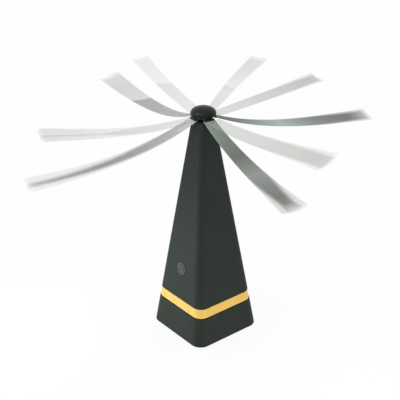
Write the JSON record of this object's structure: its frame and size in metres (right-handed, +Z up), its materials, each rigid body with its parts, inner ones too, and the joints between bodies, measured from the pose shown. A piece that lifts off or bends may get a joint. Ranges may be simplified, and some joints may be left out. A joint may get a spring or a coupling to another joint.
{
  "type": "table fly fan",
  "caption": "Table-top fly-repelling fan: tapered square battery tower with a power button and a domed rotor carrying long soft film blades that spin and fold.",
  "frame": {"origin": "on the surface the fan stands on, under the rotor's axis", "axes": "+Z up along the rotor's axis, -Y out of the face with the power button, +X to the right of that face"},
  "size_m": [0.4026, 0.4006, 0.2683],
  "materials": {
    "housing": "fine moulded grain, near black with a green tinge",
    "rotor_cap": "satin, near black",
    "trim": "satin warm yellow",
    "dark_plastic": "matte, near black",
    "button": "satin, near black, raised ring and power sign",
    "pale_plastic": "plain white",
    "film": "soft smoky translucent film",
    "rubber": "matte black",
    "steel": "plain",
    "brass": "plain",
    "bronze": "sintered",
    "winding": "enamelled copper on laminations",
    "magnet": "sintered ferrite",
    "circuit_board": "green solder mask",
    "cell_jacket": "plain printed jacket, no wording",
    "red_wire": "plain insulation",
    "black_wire": "plain insulation"
  },
  "bodies": {
    "housing": {"base_plate": "dark_plastic", "base_screw_1": "steel", "base_screw_2": "steel", "base_screw_3": "steel", "base_screw_4": "steel", "base_skirt": "housing", "battery_cell_1": "cell_jacket", "battery_cell_2": "cell_jacket", "battery_lead_black": "black_wire", "battery_lead_red": "red_wire", "board_screw_1": "steel", "board_screw_2": "steel", "contact_plate_1": "brass", "contact_plate_2": "brass", "contact_spring_1": "steel", "contact_spring_2": "steel", "control_board": "circuit_board", "motor_can": "steel", "motor_end_cap": "pale_plastic", "motor_lead_black": "black_wire", "motor_lead_red": "red_wire", "motor_magnet_1": "magnet", "motor_magnet_2": "magnet", "motor_mount": "dark_plastic", "motor_terminal_1": "brass", "motor_terminal_2": "brass", "mount_screw_1": "steel", "mount_screw_2": "steel", "rubber_foot_1": "rubber", "rubber_foot_2": "rubber", "rubber_foot_3": "rubber", "rubber_foot_4": "rubber", "switch_body": "dark_plastic", "top_bush": "bronze", "tower_shell": "housing", "trim_band": "trim"},
    "rotor": {"hinge_pin_1": "steel", "hinge_pin_2": "steel", "hinge_pin_3": "steel", "hinge_pin_4": "steel", "motor_armature": "winding", "rotor_cap": "rotor_cap", "rotor_hub": "dark_plastic", "rotor_shaft": "steel"},
    "button": {"power_button": "button", "switch_plunger": "pale_plastic"},
    "door": {"battery_door": "dark_plastic"},
    "blade_1": {"blade_clip_1": "dark_plastic", "blade_film_1": "film"},
    "blade_2": {"blade_clip_2": "dark_plastic", "blade_film_2": "film"},
    "blade_3": {"blade_clip_3": "dark_plastic", "blade_film_3": "film"},
    "blade_4": {"blade_clip_4": "dark_plastic", "blade_film_4": "film"}
  },
  "joints": [
    {"name": "rotor_spin", "type": "hinge", "parent": "housing", "child": "rotor", "pos_m": [0, 0, 0.25], "axis": [0, 0, 1], "continuous": true},
    {"name": "blade_fold_1", "type": "hinge", "parent": "rotor", "child": "blade_1", "pos_m": [0.0085, -0.0013, 0.2572], "axis": [0.1513, 0.9885, 0], "range_deg": [-12, 10]},
    {"name": "blade_fold_2", "type": "hinge", "parent": "rotor", "child": "blade_2", "pos_m": [0.0013, 0.0085, 0.2572], "axis": [-0.9885, 0.1513, 0], "range_deg": [-12, 10]},
    {"name": "blade_fold_3", "type": "hinge", "parent": "rotor", "child": "blade_3", "pos_m": [-0.0085, 0.0013, 0.2572], "axis": [-0.1513, -0.9885, 0], "range_deg": [-12, 10]},
    {"name": "blade_fold_4", "type": "hinge", "parent": "rotor", "child": "blade_4", "pos_m": [-0.0013, -0.0085, 0.2572], "axis": [0.9885, -0.1513, 0], "range_deg": [-12, 10]},
    {"name": "button_press", "type": "slide", "parent": "housing", "child": "button", "axis": [0, 0.9907, -0.1364], "range_m": [0, 0.0006], "stiffness_N_per_m": 900, "springref_m": -0.0005},
    {"name": "door_swing", "type": "hinge", "parent": "housing", "child": "door", "pos_m": [-0.02945, 0, 0.0018], "axis": [0, 1, 0], "range_deg": [0, 70]}
  ]
}
